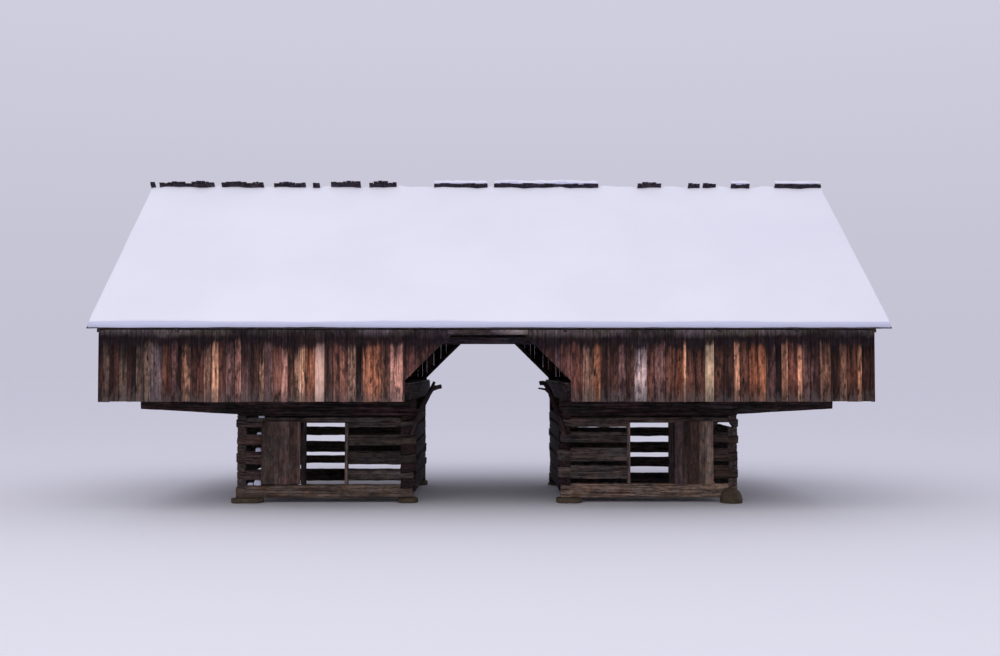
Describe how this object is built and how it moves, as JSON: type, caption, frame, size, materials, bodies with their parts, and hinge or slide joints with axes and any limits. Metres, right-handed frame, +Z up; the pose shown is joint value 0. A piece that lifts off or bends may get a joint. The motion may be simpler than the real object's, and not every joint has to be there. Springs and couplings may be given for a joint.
{
  "type": "double-pen cantilever barn",
  "caption": "Log-built cantilever barn with a central driveway: two log pens carry an overhanging boarded loft and a snow-covered gable roof of split shakes.",
  "frame": {"origin": "on the ground, under the middle of the ridge, at the middle of the driveway", "axes": "+X runs along the ridge to the right as seen from the front, -Y faces the front with the pens' doors, +Z up"},
  "size_m": [18.325, 10.6, 8.5147],
  "materials": {
    "pen_log": "matte",
    "beam": "matte",
    "framing": "matte",
    "loft_floor": "matte",
    "siding": "matte",
    "shakes": "matte",
    "snow": "matte",
    "corner_stone": "matte",
    "door_boards": "matte",
    "crook": "matte"
  },
  "bodies": {
    "barn": {"left_pen_front_outer_stone": "corner_stone", "left_pen_front_inner_stone": "corner_stone", "left_pen_back_outer_stone": "corner_stone", "left_pen_back_inner_stone": "corner_stone", "right_pen_front_inner_stone": "corner_stone", "right_pen_back_inner_stone": "corner_stone", "right_pen_back_outer_stone": "corner_stone", "right_pen_front_outer_boulder": "corner_stone", "left_pen_front_sill_log": "pen_log", "left_pen_front_inner_bay": "pen_log", "left_pen_front_outer_bay": "pen_log", "left_pen_front_top_log": "pen_log", "left_pen_back_wall": "pen_log", "left_pen_outer_wall": "pen_log", "left_pen_driveway_wall": "pen_log", "left_pen_door_jamb": "pen_log", "front_left_cantilever_beam": "beam", "back_left_cantilever_beam": "beam", "left_driveway_cross_beam": "beam", "left_outer_cross_beam": "beam", "left_gable_cross_beam": "beam", "left_loft_floor": "loft_floor", "front_left_loft_frame": "framing", "back_left_loft_frame": "framing", "right_pen_front_sill_log": "pen_log", "right_pen_front_inner_bay": "pen_log", "right_pen_front_outer_bay": "pen_log", "right_pen_front_top_log": "pen_log", "right_pen_back_wall": "pen_log", "right_pen_outer_wall": "pen_log", "right_pen_driveway_wall": "pen_log", "right_pen_door_jamb": "pen_log", "front_right_cantilever_beam": "beam", "back_right_cantilever_beam": "beam", "right_driveway_cross_beam": "beam", "right_outer_cross_beam": "beam", "right_gable_cross_beam": "beam", "right_loft_floor": "loft_floor", "front_right_loft_frame": "framing", "back_right_loft_frame": "framing", "front_left_board_wall": "siding", "front_right_board_wall": "siding", "front_drive_head_boards": "siding", "back_left_board_wall": "siding", "back_right_board_wall": "siding", "back_drive_head_boards": "siding", "left_gable_board_wall": "siding", "right_gable_board_wall": "siding", "front_roof_frame": "framing", "back_roof_frame": "framing", "front_roof_shakes": "shakes", "back_roof_shakes": "shakes", "front_roof_snow": "snow", "back_roof_snow": "snow", "left_forked_crook": "crook", "right_forked_crook": "crook"},
    "left_door": {"left_pen_door": "door_boards"},
    "right_door": {"right_pen_door": "door_boards"}
  },
  "joints": [
    {"name": "left_door_hinge", "type": "hinge", "parent": "barn", "child": "left_door", "pos_m": [-4.6, -2.44, 1.25], "axis": [0, 0, 1], "range_deg": [0, 180]},
    {"name": "right_door_hinge", "type": "hinge", "parent": "barn", "child": "right_door", "pos_m": [4.6, -2.44, 1.25], "axis": [0, 0, -1], "range_deg": [0, 180]}
  ]
}
